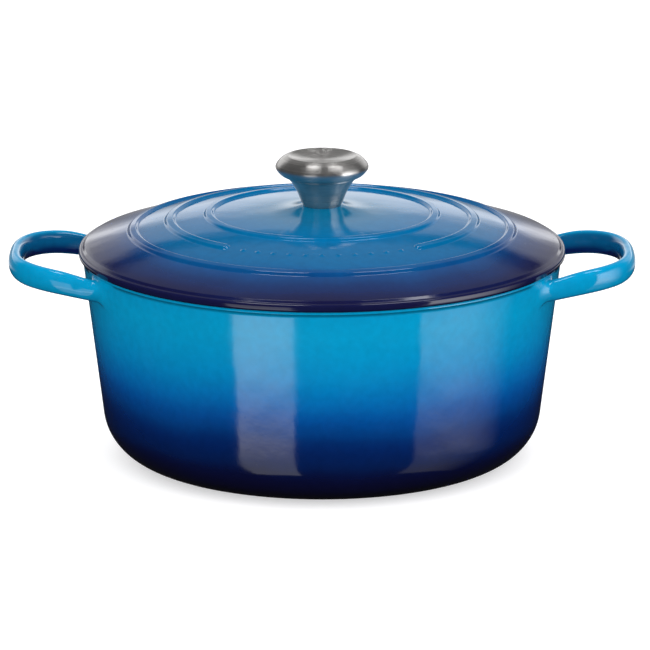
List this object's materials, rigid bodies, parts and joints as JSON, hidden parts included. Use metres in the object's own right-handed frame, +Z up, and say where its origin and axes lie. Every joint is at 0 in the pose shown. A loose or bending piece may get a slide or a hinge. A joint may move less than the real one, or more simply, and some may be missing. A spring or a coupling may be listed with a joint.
{
  "type": "cast iron dutch oven",
  "caption": "Round enamelled cast iron pot with a tapered wall and cast loop handles, under a lift-off domed lid with raised ridges and a dished steel knob.",
  "frame": {"origin": "middle of the base, on the surface that the pot stands on", "axes": "+Z up through the knob, +X through the right-hand handle, -Y towards the front, where the middle ridge of the lid is open"},
  "size_m": [0.3784, 0.294, 0.1847],
  "materials": {
    "pot_enamel": "glossy vitreous enamel shading from azure at the top to navy at the base, with a pale sand enamel inside and a matte black rim",
    "lid_enamel": "glossy vitreous enamel shading from azure at the middle to navy at the rim, with pale sand enamel underneath",
    "satin_steel": "satin stainless steel with fine turned lines",
    "plain_steel": "plain bright stainless steel"
  },
  "bodies": {
    "pot": {"pot": "pot_enamel"},
    "lid": {"lid": "lid_enamel", "knob_stem": "satin_steel", "knob_head": "satin_steel", "knob_bush": "plain_steel", "knob_screw": "plain_steel", "spring_washer": "plain_steel", "flat_washer": "plain_steel"}
  },
  "joints": [
    {"name": "lid_lift", "type": "slide", "parent": "pot", "child": "lid", "axis": [0, 0, 1], "range_m": [0, 0.2]}
  ]
}
